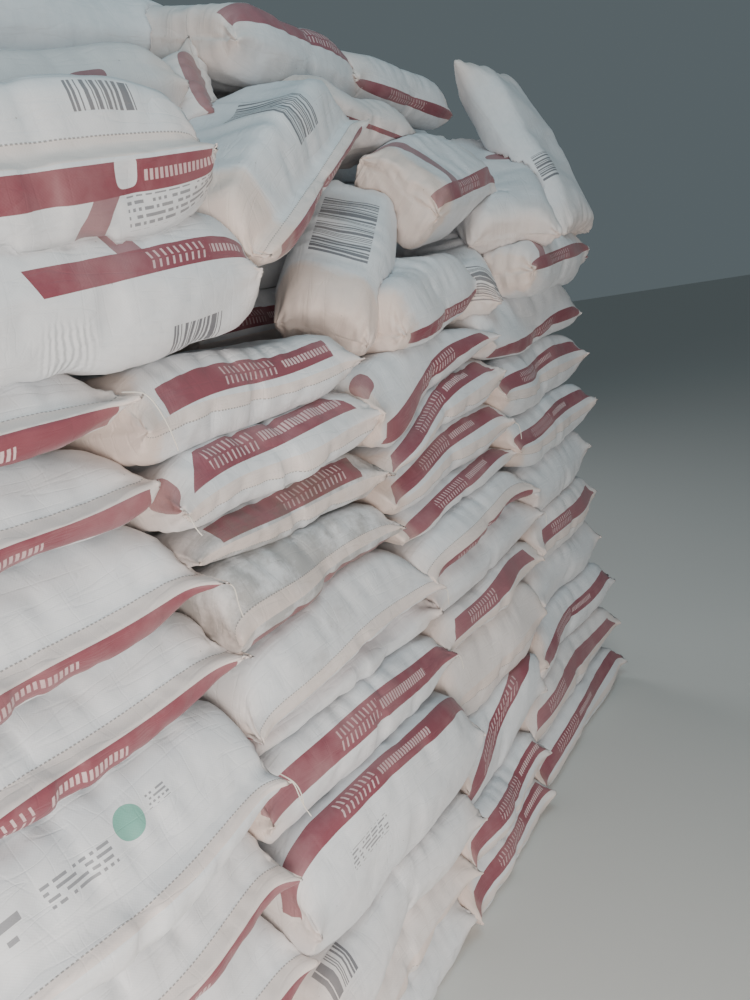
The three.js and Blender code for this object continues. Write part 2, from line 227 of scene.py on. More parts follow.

# What each kind of sack carries. Places are in metres, along the sack from its near end and round it from the
# front crease, positive over the top.
# stripe: its middle, half height, how far from either end it begins, how much that slants, its rise along the
#   sack; begins: a place along the sack before which there is no stripe; faded: 0 fresh to 1 worn
# marks, blocks: the middle and the half length of a run of pale marks along the stripe
# cross: where a crossing band starts, its lean, its bend, and the stripe's side it is on, 1 upper or -1 lower
# shield, patches, bars, pleats: the middle along and round, the half length and the half height; rows: the
#   same and the scale of the dashes; spot: the middle of a disc
# hem: how far round the seam stands, over the crease or, where negative, under it with no flat hem
# dust, grime: 0 clean to about 1; nose: how far along the sack its near end is pinkish beige all over
clothKinds = {
    "plain": {},
    "dusty": {"dust": 0.5, "hem": -0.034},
    "stripeUnder": {"stripe": (-0.028, 0.028, 0.075, 0.0, 0.0), "marks": (0.26, 0.08), "blocks": (0.43, 0.07),
                    "hem": 0.034},
    "stripeOver": {"stripe": (0.040, 0.026, 0.10, 0.02, 0.0), "marks": (0.26, 0.08), "blocks": (0.44, 0.09),
                   "hem": -0.034},
    "fadedStripe": {"stripe": (0.030, 0.026, 0.10, 0.02, 0.0), "marks": (0.26, 0.08), "faded": 0.6,
                    "dust": 0.3, "hem": -0.034},
    "edgeStripe": {"stripe": (0.030, 0.023, 0.06, 0.02, 0.03), "marks": (0.30, 0.09), "blocks": (0.48, 0.07),
                   "nose": 0.07, "faded": 0.2, "hem": -0.030},
    "spotted": {"spot": (0.502, 0.128), "hem": 0.02,
                "rows": ((0.22, 0.125, 0.10, 0.036, 2.6), (0.405, 0.110, 0.055, 0.022, 1.0),
                         (0.56, 0.135, 0.02, 0.012, 0.7))},
    "risingStripe": {"stripe": (0.019, 0.024, 0.115, 0.0, 0.05), "marks": (0.345, 0.075),
                     "blocks": (0.52, 0.08), "hem": -0.022, "nose": 0.09, "faded": 0.25},
    "patchedStripe": {"patches": ((0.036, 0.072, 0.037, 0.040),), "marks": (0.225, 0.07),
                      "stripe": (0.046, 0.030, 0.116, 0.032, 0.04), "blocks": (0.43, 0.12), "hem": -0.034,
                      "faded": 0.25},
    "soiledStripe": {"grime": 1.0, "stripe": (0.033, 0.026, 0.10, 0.0, 0.0), "marks": (0.40, 0.10),
                     "hem": -0.034},
    "soiled": {"grime": 1.1, "stripe": (-0.042, 0.020, 0.10, 0.0, 0.0), "hem": 0.03},
    "scuffed": {"grime": 0.4, "stripe": (-0.035, 0.025, 0.03, 0.0, 0.0), "hem": 0.03},
    "wideStripe": {"stripe": (0.035, 0.031, 0.02, 0.0, 0.0), "marks": (0.34, 0.07), "blocks": (0.52, 0.10),
                   "faded": 0.3, "nose": 0.05},
    "highStripe": {"stripe": (0.153, 0.026, 0.02, 0.0, -0.03), "marks": (0.32, 0.06), "blocks": (0.49, 0.10),
                   "rows": ((0.30, 0.045, 0.06, 0.022, 0.9),), "faded": 0.15},
    "barred": {"bars": (0.10, 0.078, 0.04, 0.035), "dust": 0.2},
    "climbingStripe": {"patches": ((0.073, 0.083, 0.032, 0.028),), "stripe": (-0.050, 0.026, 0.08, 0.0, 0.11),
                       "marks": (0.40, 0.10), "nose": 0.05, "faded": 0.2},
    "levelStripe": {"stripe": (0.002, 0.023, 0.05, 0.0, 0.055), "marks": (0.30, 0.09), "blocks": (0.48, 0.07),
                    "nose": 0.07, "faded": 0.35},
    "steepStripe": {"stripe": (-0.06, 0.03, 0.05, 0.0, 0.38), "marks": (0.30, 0.12), "faded": 0.3,
                    "nose": 0.06},
    "whiteTop": {"stripe": (-0.050, 0.022, 0.09, 0.0, 0.07), "marks": (0.50, 0.10)},
    "looseStripe": {"stripe": (-0.004, 0.020, 0.07, 0.0, 0.082), "begins": 0.275, "marks": (0.535, 0.062),
                    "blocks": (0.645, 0.04), "bars": (0.562, -0.096, 0.068, 0.030), "faded": 0.1,
                    "cross": (0.485, -0.67, 0.0, 1), "pleats": (0.315, -0.085, 0.05, 0.055)},
    "looseBand": {"stripe": (-0.029, 0.023, 0.07, 0.0, 0.0), "blocks": (0.635, 0.075), "hem": 0.049,
                  "shield": (0.530, -0.021, 0.021, 0.023), "cross": (0.523, 0.67, 0.0, -1),
                  "rows": ((0.625, -0.079, 0.10, 0.024, 1.0),), "bars": (0.55, 0.10, 0.06, 0.019)},
    "noseStripe": {"stripe": (-0.024, 0.019, 0.10, 0.0, 0.0), "marks": (0.36, 0.12), "nose": 0.10},
    "noseBars": {"bars": (0.335, 0.19, 0.115, 0.070), "nose": 0.15},
    "noseBoth": {"bars": (0.45, 0.185, 0.06, 0.095), "stripe": (-0.020, 0.019, 0.12, 0.0, 0.0),
                 "marks": (0.42, 0.12), "hem": 0.022, "nose": 0.17},
    "noseBand": {"stripe": (0.055, 0.022, 0.03, 0.0, 0.0), "marks": (0.27, 0.08), "nose": 0.09,
                 "cross": (0.128, 0.75, -2.87, 1)},
    "lowBand": {"stripe": (0.018, 0.020, 0.05, 0.0, 0.0), "marks": (0.27, 0.08), "nose": 0.05,
                "cross": (0.10, 0.9, -2.87, 1)},
    "shortStripe": {"stripe": (0.014, 0.020, 0.05, 0.0, 0.0), "marks": (0.30, 0.08)},
    "column": {"bars": (0.02, 0.10, 0.10, 0.10)},
    "folded": {"patches": ((0.405, 0.165, 0.020, 0.050),)},
    "eared": {"bars": (0.442, 0.081, 0.045, 0.035)},
    "lined": {"stripe": (-0.029, 0.006, 0.04, 0.0, 0.0), "dust": 0.4},
    "panelled": {"patches": ((0.038, 0.190, 0.032, 0.092),), "hem": 0.085},
    "topStripe": {"stripe": (0.078, 0.028, 0.05, 0.0, 0.0), "marks": (0.45, 0.1), "faded": 0.7},
    "frontStripe": {"stripe": (-0.010, 0.017, 0.02, 0.0, 0.0), "marks": (0.30, 0.11), "faded": 0.1},
    "worn": {"patches": ((0.437, 0.027, 0.037, 0.010), (0.30, 0.014, 0.06, 0.007)), "dust": 0.3},
}


def cellAt(add, place, pitch):
    # where each place is in its own cell of a row, from -0.5 to 0.5
    return add("Math", (add("Math", (place, pitch), operation="FLOORED_MODULO"), 1 / pitch, -0.5),
               operation="MULTIPLY_ADD")


def awayFrom(add, place, middle):
    return add("Math", (add("Math", (place, -middle), operation="ADD"),), operation="ABSOLUTE")


def inArea(add, at, middleAlong, middleAround, halfAlong, halfAround):
    return add("Math", (add("Math", (at["along"], middleAlong, halfAlong), operation="COMPARE"),
                        add("Math", (at["around"], middleAround, halfAround), operation="COMPARE")),
               operation="MULTIPLY")


def stripeInk(add, at, carries):
    # how far each place is inside the stripe, and the stripe's own worn colour with the pale marks on it
    look = wovenCloth
    middle, half, start, slant, rise = carries["stripe"]
    level = add("Math", (at["around"], 1 / half, -middle / half), operation="MULTIPLY_ADD")
    level = add("Math", (at["along"], -rise / half, level), operation="MULTIPLY_ADD")
    stripe = add("Math", (level, 0.0, 1.0), operation="COMPARE")
    slanted = add("Math", (level, -slant, at["toEnd"]), operation="MULTIPLY_ADD")
    begun = add("Math", (slanted, start), operation="GREATER_THAN")
    stripe = add("Math", (stripe, begun), operation="MULTIPLY")
    if "begins" in carries:
        slanted = add("Math", (level, 0.010, at["along"]), operation="MULTIPLY_ADD")
        begun = add("Math", (slanted, carries["begins"]), operation="GREATER_THAN")
        stripe = add("Math", (stripe, begun), operation="MULTIPLY")
    up = add("Math", (level,), operation="ABSOLUTE")
    white = 0.0
    if "marks" in carries:
        # slanted grains in pairs, such as an ear of wheat has
        lean = add("Math", (up, 0.55, cellAt(add, at["along"], look["markPitch"])), operation="MULTIPLY_ADD")
        grain = add("Math", (add("Math", (lean, 0.22, 0.16), operation="COMPARE"),
                             add("Math", (up, 0.38, 0.30), operation="COMPARE")), operation="MULTIPLY")
        run = add("Math", (at["along"], *carries["marks"]), operation="COMPARE")
        white = add("Math", (grain, run), operation="MULTIPLY")
    if "blocks" in carries:
        cell = cellAt(add, at["along"], look["blockPitch"])
        block = add("Math", (add("Math", (cell, 0.0, 0.30), operation="COMPARE"),
                             add("Math", (up, 0.34), operation="LESS_THAN")), operation="MULTIPLY")
        run = add("Math", (at["along"], *carries["blocks"]), operation="COMPARE")
        white = add("Math", (block, run, white), operation="MULTIPLY_ADD")
    faded = carries.get("faded", 0.0)
    worn = add("MapRange", (at["clouds"], 0.44, 0.74, faded, faded + 0.6))
    ended = add("MapRange", (at["toEnd"], 0.05, 0.20, 0.30, 0.0))
    worn = add("Math", (worn, ended), operation="ADD", use_clamp=True)
    red = add("Mix", {0: worn, 6: linear(look["crimson"]), 7: linear(look["fadedCrimson"])}, 2,
              data_type="RGBA")
    rubbed = add("MapRange", (at["clouds"], 0.40, 0.70, 0.85, 0.40))
    rubbed = add("Math", (white, rubbed), operation="MULTIPLY")
    red = add("Mix", {0: rubbed, 6: red, 7: linear(look["mark"])}, 2, data_type="RGBA")
    return stripe, level, red


def rowsInk(add, at, area):
    # rows of small dashes of uneven length, as fine print looks from afar
    *area, scale = area
    wide, tall = (pitch * scale for pitch in wovenCloth["dashPitch"])
    place = add("CombineXYZ", (add("Math", (at["along"], wide), operation="SNAP"),
                               add("Math", (at["around"], tall), operation="SNAP")))
    chance = add("TexWhiteNoise", {"Vector": place}, noise_dimensions="2D")
    cell = cellAt(add, at["around"], tall)
    dash = add("Math", (add("Math", (chance, 0.35), operation="GREATER_THAN"),
                        add("Math", (cell, 0.0, 0.24), operation="COMPARE")), operation="MULTIPLY")
    return add("Math", (dash, inArea(add, at, *area)), operation="MULTIPLY")


def barsInk(add, at, area):
    # lines of uneven width round the sack
    line = add("Math", (at["along"], wovenCloth["barPitch"]), operation="SNAP")
    chance = add("TexWhiteNoise", {"W": line}, noise_dimensions="1D")
    bar = add("Math", (chance, 0.46), operation="GREATER_THAN")
    return add("Math", (bar, inArea(add, at, *area)), operation="MULTIPLY")


def patchInk(add, at, area):
    # a rounded patch of colour
    out = []
    for place, middle, half in zip((at["along"], at["around"]), area[:2], area[2:]):
        share = add("Math", (place, 1 / half, -middle / half), operation="MULTIPLY_ADD")
        out.append(add("Math", (add("Math", (share,), operation="ABSOLUTE"), 3.5), operation="POWER"))
    return add("Math", (add("Math", out, operation="ADD"), 1.0), operation="LESS_THAN")


def discInk(add, at, middle):
    place = add("CombineXYZ", (at["along"], at["around"]))
    far = add("VectorMath", (place, middle + (0.0,)), 1, operation="DISTANCE")
    return add("Math", (far, wovenCloth["spotRadius"]), operation="LESS_THAN")


def crossInk(add, at, curve, level):
    # a band that leaves the stripe's upper side (1) or its lower one (-1) and crosses the sack in a curve
    start, lean, bend, side = curve
    line = add("Math", (at["around"], bend, lean), operation="MULTIPLY_ADD")
    line = add("Math", (line, at["around"], start), operation="MULTIPLY_ADD")
    band = add("Math", (at["along"], line, wovenCloth["bandHalf"]), operation="COMPARE")
    outside = add("Math", (add("Math", (level, side), operation="MULTIPLY"), 1.0), operation="GREATER_THAN")
    return add("Math", (band, outside), operation="MULTIPLY")


def printOn(add, cloth, at, carries):
    # the print of one kind of sack: each ink with its kind and its colour, laid one over another
    look = wovenCloth
    crimson, white, ink, green = (linear(look[colour]) for colour in ("crimson", "white", "ink", "green"))
    layers = []
    for area in carries.get("patches", ()):
        layers.append((patchInk(add, at, area), "patch", crimson))
    if "stripe" in carries:
        stripe, level, red = stripeInk(add, at, carries)
        layers.append((stripe, "stripe", red))
        if "cross" in carries:
            layers.append((crossInk(add, at, carries["cross"], level), "cross", crimson))
    if "shield" in carries:
        layers.append((patchInk(add, at, carries["shield"]), "shield", white))
    if "bars" in carries:
        layers.append((barsInk(add, at, carries["bars"]), "bars", ink))
    for area in carries.get("rows", ()):
        layers.append((rowsInk(add, at, area), "rows", ink))
    if "spot" in carries:
        layers.append((discInk(add, at, carries["spot"]), "spot", green))
    for layer, kind, colour in layers:
        amount = add("Math", (layer, look["covers"][kind]), operation="MULTIPLY")
        cloth = add("Mix", {0: amount, 6: cloth, 7: colour}, 2, data_type="RGBA")
    return cloth


def makeWovenCloth(name, carries):
    look = wovenCloth
    material = bpy.data.materials.new(name)
    material.use_nodes = True
    material.node_tree.nodes.clear()
    add = partial(addNode, material.node_tree)

    places = add("UVMap", uv_map="cloth")
    along = add("SeparateXYZ", (places,))
    around = add("SeparateXYZ", (places,), 1)
    where = add("TexCoord", output="Object")
    toEnd = add("Attribute", output="Fac", attribute_name="toEnd")

    # dust lies in clouds, thicker at the sack's ends; and up to a ragged line some sacks have their near end
    # pinkish beige all over, in the dust's colour
    clouds = add("TexNoise", {"Vector": where, "Scale": 7.0, "Detail": 5.0, "Roughness": 0.6})
    fine = add("TexNoise", {"Vector": where, "Scale": 60.0, "Detail": 4.0})
    at = {"along": along, "around": around, "toEnd": toEnd, "clouds": clouds}
    endward = add("MapRange", (toEnd, 0.02, 0.14, 0.9, 0.0))
    cloudy = add("Math", (clouds, 0.2), operation="ADD")
    dust = add("Math", (endward, cloudy, carries.get("dust", 0.05)), operation="MULTIPLY_ADD", use_clamp=True)
    if "nose" in carries:
        ragged = add("Math", (clouds, -0.5), operation="ADD")
        ragged = add("Math", (ragged, 0.12, along), operation="MULTIPLY_ADD")
        nose = add("MapRange", (ragged, carries["nose"], carries["nose"] + look["noseEdge"], 1.0, 0.0))
        dust = add("Math", (dust, nose), operation="MAXIMUM")
    colour = add("Mix", {0: add("Math", (fine, 0.7), operation="MULTIPLY"), 6: linear(look["white"]),
                         7: linear(look["shade"])}, 2, data_type="RGBA")
    colour = add("Mix", {0: dust, 6: colour, 7: linear(look["dust"])}, 2, data_type="RGBA")
    colour = printOn(add, colour, at, carries)
    film = add("Math", (add("MapRange", (clouds, 0.45, 0.75, 0.02, 0.15)),
                        add("Math", (dust, 0.25), operation="MULTIPLY")), operation="MAXIMUM")
    colour = add("Mix", {0: film, 6: colour, 7: linear(look["dust"])}, 2, data_type="RGBA")

    # grime gathers in smears and in small specks
    grime = carries.get("grime", 0.0)
    smears = add("TexNoise", {"Vector": where, "Scale": 9.0, "Detail": 8.0, "Roughness": 0.68})
    reach = 0.62 - 0.18 * grime
    smear = add("MapRange", (smears, reach, reach + 0.14, 0.12 * grime, 0.12 + 0.42 * grime))
    colour = add("Mix", {0: smear, 6: colour, 7: linear(look["grime"])}, 2, data_type="RGBA")
    cells = add("TexVoronoi", {"Vector": where, "Scale": 26.0})
    speck = add("Math", (add("Math", (cells, 0.035), operation="LESS_THAN"), 0.5), operation="MULTIPLY")
    colour = add("Mix", {0: speck, 6: colour, 7: linear(look["speck"])}, 2, data_type="RGBA")

    # tapes over and under each other, and the cloth's own fine creases
    turns = 2 * math.pi / look["tape"]
    warp = add("Math", (add("Math", (along, turns), operation="MULTIPLY"),), operation="SINE")
    weft = add("Math", (add("Math", (around, turns), operation="MULTIPLY"),), operation="SINE")
    weave = add("Math", (warp, weft), operation="MULTIPLY")
    creases = add("TexNoise", {"Vector": where, "Scale": 38.0, "Detail": 6.0, "Distortion": 0.6})
    relief = add("Math", (weave, 0.05, creases), operation="MULTIPLY_ADD")
    for stretch, depth in look["creases"]:
        # sharp creases where the noise crosses its middle: long ones along the sack, short ones round it
        spot = add("VectorMath", (places, stretch), operation="MULTIPLY")
        drawn = add("TexNoise", {"Vector": spot, "Scale": 1.0, "Detail": 2.0, "Distortion": 0.8})
        crease = add("MapRange", (awayFrom(add, drawn, 0.5), 0.0, look["creaseHalf"], -depth, 0.0))
        relief = add("Math", (relief, crease), operation="ADD")

    if "pleats" in carries:
        # small upright folds, close together
        middleAlong, middleAround, halfAlong, halfAround = carries["pleats"]
        bent = add("Math", (clouds, 0.05, along), operation="MULTIPLY_ADD")
        fold = add("Math", (bent, 2 * math.pi / look["pleatPitch"]), operation="MULTIPLY")
        fold = add("Math", (fold,), operation="SINE")
        near = add("MapRange", (awayFrom(add, along, middleAlong), 0.4 * halfAlong, halfAlong, 1.6, 0.0))
        over = add("MapRange", (awayFrom(add, around, middleAround), 0.4 * halfAround, halfAround, 1.0, 0.0))
        fold = add("Math", (fold, add("Math", (near, over), operation="MULTIPLY")), operation="MULTIPLY")
        relief = add("Math", (relief, fold), operation="ADD")

    # the hem: a row of stitches, and the doubled cloth outside it a little creamier
    if "hem" in carries:
        hem = carries["hem"]
        band = add("Math", (around, hem / 2, abs(hem) / 2), operation="COMPARE")
        band = add("Math", (band, 0.65), operation="MULTIPLY")
        colour = add("Mix", {0: band, 6: colour, 7: linear(look["dust"])}, 2, data_type="RGBA")
        row = add("Math", (around, hem, 3 * look["stitchHalf"]), operation="COMPARE")
        pitch = look["stitchPitch"]
        dash = add("Math", (add("Math", (along, pitch), operation="FLOORED_MODULO"), 0.42 * pitch),
                   operation="GREATER_THAN")
        line = add("Math", (around, hem, look["stitchHalf"]), operation="COMPARE")
        stitch = add("Math", (line, dash), operation="MULTIPLY")
        inked = add("Math", (stitch, 0.7), operation="MULTIPLY")
        colour = add("Mix", {0: inked, 6: colour, 7: linear(look["stitch"])}, 2, data_type="RGBA")
        relief = add("Math", (row, -0.6, relief), operation="MULTIPLY_ADD")
        relief = add("Math", (stitch, 0.9, relief), operation="MULTIPLY_ADD")
    bump = add("Bump", {"Height": relief, "Strength": look["bump"][0], "Distance": look["bump"][1]})
    shader = add("BsdfPrincipled", {"Base Color": colour, "Normal": bump, "Roughness": look["roughness"],
                                    "IOR": look["ior"], "Sheen Weight": 0.12, "Sheen Roughness": 0.5})
    add("OutputMaterial", {"Surface": shader})
    return material


cloths = {kind: makeWovenCloth(f"woven_{kind}", carries) for kind, carries in clothKinds.items()}
print("cloth made")

# The form of a filled sack lying on its broad side, in metres
sackForm = {
    "endAlong": 0.42,  # powers of the end's curve along the sack and up it
    "endUp": 0.42,
    "crispOver": 0.68,  # nearer 1 is a sharper long edge
    "crispUnder": 0.60,
    "slopePressed": 0.03,  # how far the pressed side takes to reach full thickness
    "noseReach": 0.16,  # how far from its end a sack begins to narrow
    "noseThin": 0.92,  # share of the thickness that is left there
    "hem": 0.034,
    "hemRise": 0.17,  # share of the slope that the flat hem climbs
    "dent": 0.0052,
    "gather": (0.0050, 0.008, 0.055),  # at the ends: height, where they begin, and how far they reach
    "fan": (0.0048, 0.03, 0.10),  # creases that fan out of the corners: the same
    "pucker": (0.0012, 0.022),  # along the hem: height and reach
    "hemStraight": (0.6, 0.04),  # how much straighter the cloth runs at the hem, and how far from it
    "ear": (0.034, 0.028),  # how far an ear sticks out, and how much cloth goes with it
    "slack": 1.25,  # share of the simulated wrinkles that a sack in a course has
    "looseSlack": 0.8,
}
sackGrids = {"near": (96, 76), "far": (60, 52), "hidden": (40, 32)}  # stations along, columns round


def waves(rng, count, low, high):
    # a smooth random field over the cloth, as a sum of waves
    return [(rng.uniform(low, high) * rng.choice((-1, 1)), rng.uniform(low, high),
             rng.uniform(0, 2 * math.pi)) for _ in range(count)]


def field(terms, u, v):
    return sum(np.sin(2 * math.pi * (a * u + b * v) + c) for a, b, c in terms) / math.sqrt(len(terms))


def spread(points, steps, evenness=0.6):
    # places along a curve for a number of steps, closer together towards its two ends
    far = np.concatenate([[0], np.cumsum(np.linalg.norm(np.diff(points, axis=0), axis=1))])
    share = np.linspace(0, 1, steps + 1)
    share = evenness * share + (1 - evenness) * share ** 2 * (3 - 2 * share)
    return np.interp(share * far[-1], far, np.linspace(0, 1, len(points)))


def shapeSack(size, grid, edge=0.45, slopes=(0.07, 0.06), pressed=False, nose=0.94, hemmed=False):
    # the sack about its own middle: a ring of columns at each station along it, closed at both ends in a
    # seam. Gives the places [station, column], and the cloth's own places along and round the sack
    length, width, height = size
    stations, columns = sackGrids[grid]
    half = columns // 2
    form = sackForm
    rear = (form["slopePressed"],) * 2 if pressed else slopes

    def endCurve(share):
        turn = share * math.pi
        out = -np.sign(np.cos(turn)) * np.abs(np.cos(turn)) ** form["endAlong"]
        return out * length / 2, np.maximum(np.sin(turn), 0) ** form["endUp"]

    def climb(distance, reach, crisp, hem):
        belly = np.clip((distance - hem) / (reach - hem), 0, 1)
        flat = form["hemRise"] * np.clip(distance / max(hem, 1e-6), 0, 1) if hem else 0
        return flat + (1 - (form["hemRise"] if hem else 0)) * (1 - (1 - belly) ** 2) ** crisp

    def face(share, side, crisp):
        hem = form["hem"] if hemmed and side == 0 else 0
        front = climb(share * width, slopes[side], crisp, hem)
        return front * climb((1 - share) * width, rear[side], crisp, 0)

    fine = np.linspace(0, 1, 1201)
    x, full = endCurve(fine)
    x, full = endCurve(spread(np.stack([x, full * height / 2], axis=1), stations))
    over = face(fine, 0, form["crispOver"]) * height * (1 - edge)
    under = face(fine, 1, form["crispUnder"]) * height * edge
    over = spread(np.stack([fine * width, over], axis=1), half)
    under = spread(np.stack([fine * width, under], axis=1), half)
    across = np.concatenate([over, under[1:-1][::-1]])
    profile = np.concatenate([face(over, 0, form["crispOver"]) * height * (1 - edge),
                              -face(under, 1, form["crispUnder"])[1:-1][::-1] * height * edge])
    inward = np.clip((length / 2 - np.abs(x)) / form["noseReach"], 0, 1)
    rounded = np.sqrt(1 - (1 - inward) ** 2)
    full = full * (form["noseThin"] + (1 - form["noseThin"]) * rounded)
    narrow = nose + (1 - nose) * rounded
    z = height * (edge - 0.5) + profile[None, :] * full[:, None]
    y = (across - 0.5)[None, :] * width * narrow[:, None]
    places = np.stack([x[:, None] + 0 * y, y, z], axis=2)
    u = np.concatenate([[0], np.cumsum(np.linalg.norm(np.diff(places[:, half // 2], axis=0), axis=1))])
    steps = np.linalg.norm(np.roll(places[stations // 2], -1, axis=0) - places[stations // 2], axis=1)
    v = np.concatenate([[0], np.cumsum(steps[:half]), -np.cumsum(steps[half + 1:][::-1])[::-1]])
    return places, u, v


def gridNormals(places):
    alongCloth = np.gradient(places, axis=0)
    roundCloth = np.roll(places, -1, axis=1) - np.roll(places, 1, axis=1)
    normal = np.cross(alongCloth, roundCloth)
    return normal / np.maximum(np.linalg.norm(normal, axis=2, keepdims=True), 1e-9)


def resample(values, stations, columns):
    # the same field of the cloth on another grid
    i = np.linspace(0, values.shape[0] - 1, stations + 1)
    j = np.arange(columns) * values.shape[1] / columns
    i0, j0 = np.minimum(i.astype(int), values.shape[0] - 2), j.astype(int)
    i1, j1 = i0 + 1, (j0 + 1) % values.shape[1]
    a, b = (i - i0)[:, None], (j - j0)[None, :]
    low = values[np.ix_(i0, j0)] * (1 - b) + values[np.ix_(i0, j1)] * b
    high = values[np.ix_(i1, j0)] * (1 - b) + values[np.ix_(i1, j1)] * b
    return low * (1 - a) + high * a


wrinkles = []  # how far simulated cloth stands out, for each place of the grid


def crumple(rng, places, u, v, hemmed, slack):
    # dents all over, gathers at the end seams, creases that fan out of the corners, puckers along the hem,
    # and the wrinkles of simulated cloth, turned one way or another
    form = sackForm
    length, halfRound = u[-1], v.max()
    along, around = np.meshgrid(u, v, indexing="ij")
    fromEnd = np.minimum(along, length - along)
    height = form["dent"] * field(waves(rng, 7, 0.8, 4.0), along, around)
    pleats = [(rng.uniform(-3, 3), rng.uniform(14, 38), rng.uniform(0, 6.28)) for _ in range(4)]
    gather, begins, reach = form["gather"]
    height += (gather * field(pleats, along, around) * np.exp(-fromEnd / reach)
               * (1 - np.exp(-fromEnd / begins)))
    fan, begins, reach = form["fan"]
    for end in (0, length):
        for edge in (0, halfRound, -halfRound):
            far = np.hypot(along - end, around - edge)
            angle = np.arctan2(around - edge, np.abs(along - end))
            rays = np.sin(angle * rng.uniform(9, 14) + rng.uniform(0, 6.28))
            height += fan * rays * np.exp(-far / reach) * np.clip(far / begins, 0, 1)
    if hemmed:
        puckers = [(rng.uniform(14, 34), rng.uniform(-2, 2), rng.uniform(0, 6.28)) for _ in range(5)]
        pucker, reach = form["pucker"]
        height += pucker * field(puckers, along, around) * np.exp(-np.abs(around - form["hem"]) / reach)
        straight, reach = form["hemStraight"]
        height *= 1 - straight * np.exp(-((around - form["hem"] / 2) / reach) ** 2)
    if wrinkles:
        layer = resample(rng.choice(wrinkles), *(n - k for n, k in zip(places.shape, (1, 0))))
        layer = layer[::-1] if rng.random() < 0.5 else layer
        height += layer * slack * rng.uniform(0.8, 1.2)
    return places + gridNormals(places) * height[:, :, None]


def pullEars(rng, world, columns, reaches):
    # the corners of the flat sack stay as slack points of cloth, at its near and its far end
    last = world.shape[0] - 1
    ear, slack = sackForm["ear"]
    out = world.copy()
    for station, reach in zip((0, last), reaches):
        middle = world[abs(station - last // 6)].mean(axis=0)
        for column in columns:
            corner = world[station, column]
            far = np.linalg.norm(world - corner, axis=2)
            pull = np.exp(-(far / slack) ** 1.5) * ear * reach * rng.uniform(0.5, 1.0)
            aim = corner - middle + np.array([0, 0, rng.uniform(-0.10, 0.04)])
            out += pull[:, :, None] * aim / np.linalg.norm(aim)
    return out


meshGrids = {}  # for each grid: the vertex at each place, the place of each vertex, and the faces


def meshGrid(shape):
    if shape in meshGrids:
        return meshGrids[shape]
    stations, columns = shape[0] - 1, shape[1]
    half = columns // 2
    index = np.arange(shape[0] * columns).reshape(shape)
    for station in (0, stations):
        index[station, half + 1:] = index[station, 1:half][::-1]  # both faces meet in the end seam
    kept = np.unique(index)
    index = np.searchsorted(kept, index)
    keep = np.stack([kept // columns, kept % columns], axis=1)
    after = (np.arange(columns) + 1) % columns
    quads = np.stack([index[:-1], index[1:], index[1:][:, after], index[:-1][:, after]], axis=2)
    meshGrids[shape] = (index, keep, quads.reshape(-1, 4).tolist())
    return meshGrids[shape]


def buildMesh(name, places, u, v, material=None):
    shape = places.shape[:2]
    half = shape[1] // 2
    _, keep, quads = meshGrid(shape)
    mesh = bpy.data.meshes.new(name)
    mesh.from_pydata(places[keep[:, 0], keep[:, 1]].tolist(), [], quads)
    lowV, highV = v.copy(), np.roll(v, -1)
    lowV[half] = v[half + 1] - (v[half] - v[half - 1])
    faces = (shape[0] - 1, shape[1])
    lowU, highU = np.broadcast_to(u[:-1, None], faces), np.broadcast_to(u[1:, None], faces)
    lowV, highV = np.broadcast_to(lowV, faces), np.broadcast_to(highV, faces)
    corners = np.stack([lowU, lowV, highU, lowV, highU, highV, lowU, highV], axis=2)
    layer = mesh.uv_layers.new(name="cloth")
    layer.data.foreach_set("uv", corners.reshape(-1).astype(np.float32))
    toEnd = mesh.attributes.new("toEnd", "FLOAT", "POINT")
    toEnd.data.foreach_set("value", np.minimum(u, u[-1] - u)[keep[:, 0]].astype(np.float32))
    mesh.polygons.foreach_set("use_smooth", [True] * len(quads))
    if material:
        mesh.materials.append(material)
    thing = bpy.data.objects.new(name, mesh)
    bpy.context.scene.collection.objects.link(thing)
    return thing


# Cloth simulation: sacks of slack cloth, held softly to their form and drawn up at the seams. The wrinkles
# that form in them go onto every sack, as deep as the cap at most.
slackCloth = {
    "size": (0.66, 0.42, 0.17), "frames": 20, "hold": 0.3, "drawn": 0.06, "seamReach": 0.012, "cap": 0.010,
    "quality": 5, "mass": 0.2, "stretch": 30, "shear": 15,
    "kinds": (
        {"slack": 0.030, "bending": 10, "pressure": 0.0, "pin": 0.6},
        {"slack": 0.030, "bending": 60, "pressure": 0.0, "pin": 0.6},
        {"slack": 0.040, "bending": 20, "pressure": 0.15, "pin": 0.4},
    ),
}


def smoothed(values, passes):
    for _ in range(passes):
        values = (np.roll(values, 1, axis=1) + 2 * values + np.roll(values, -1, axis=1)) / 4
        padded = np.vstack([values[:1], values, values[-1:]])
        values = (padded[:-2] + 2 * padded[1:-1] + padded[2:]) / 4
    return values


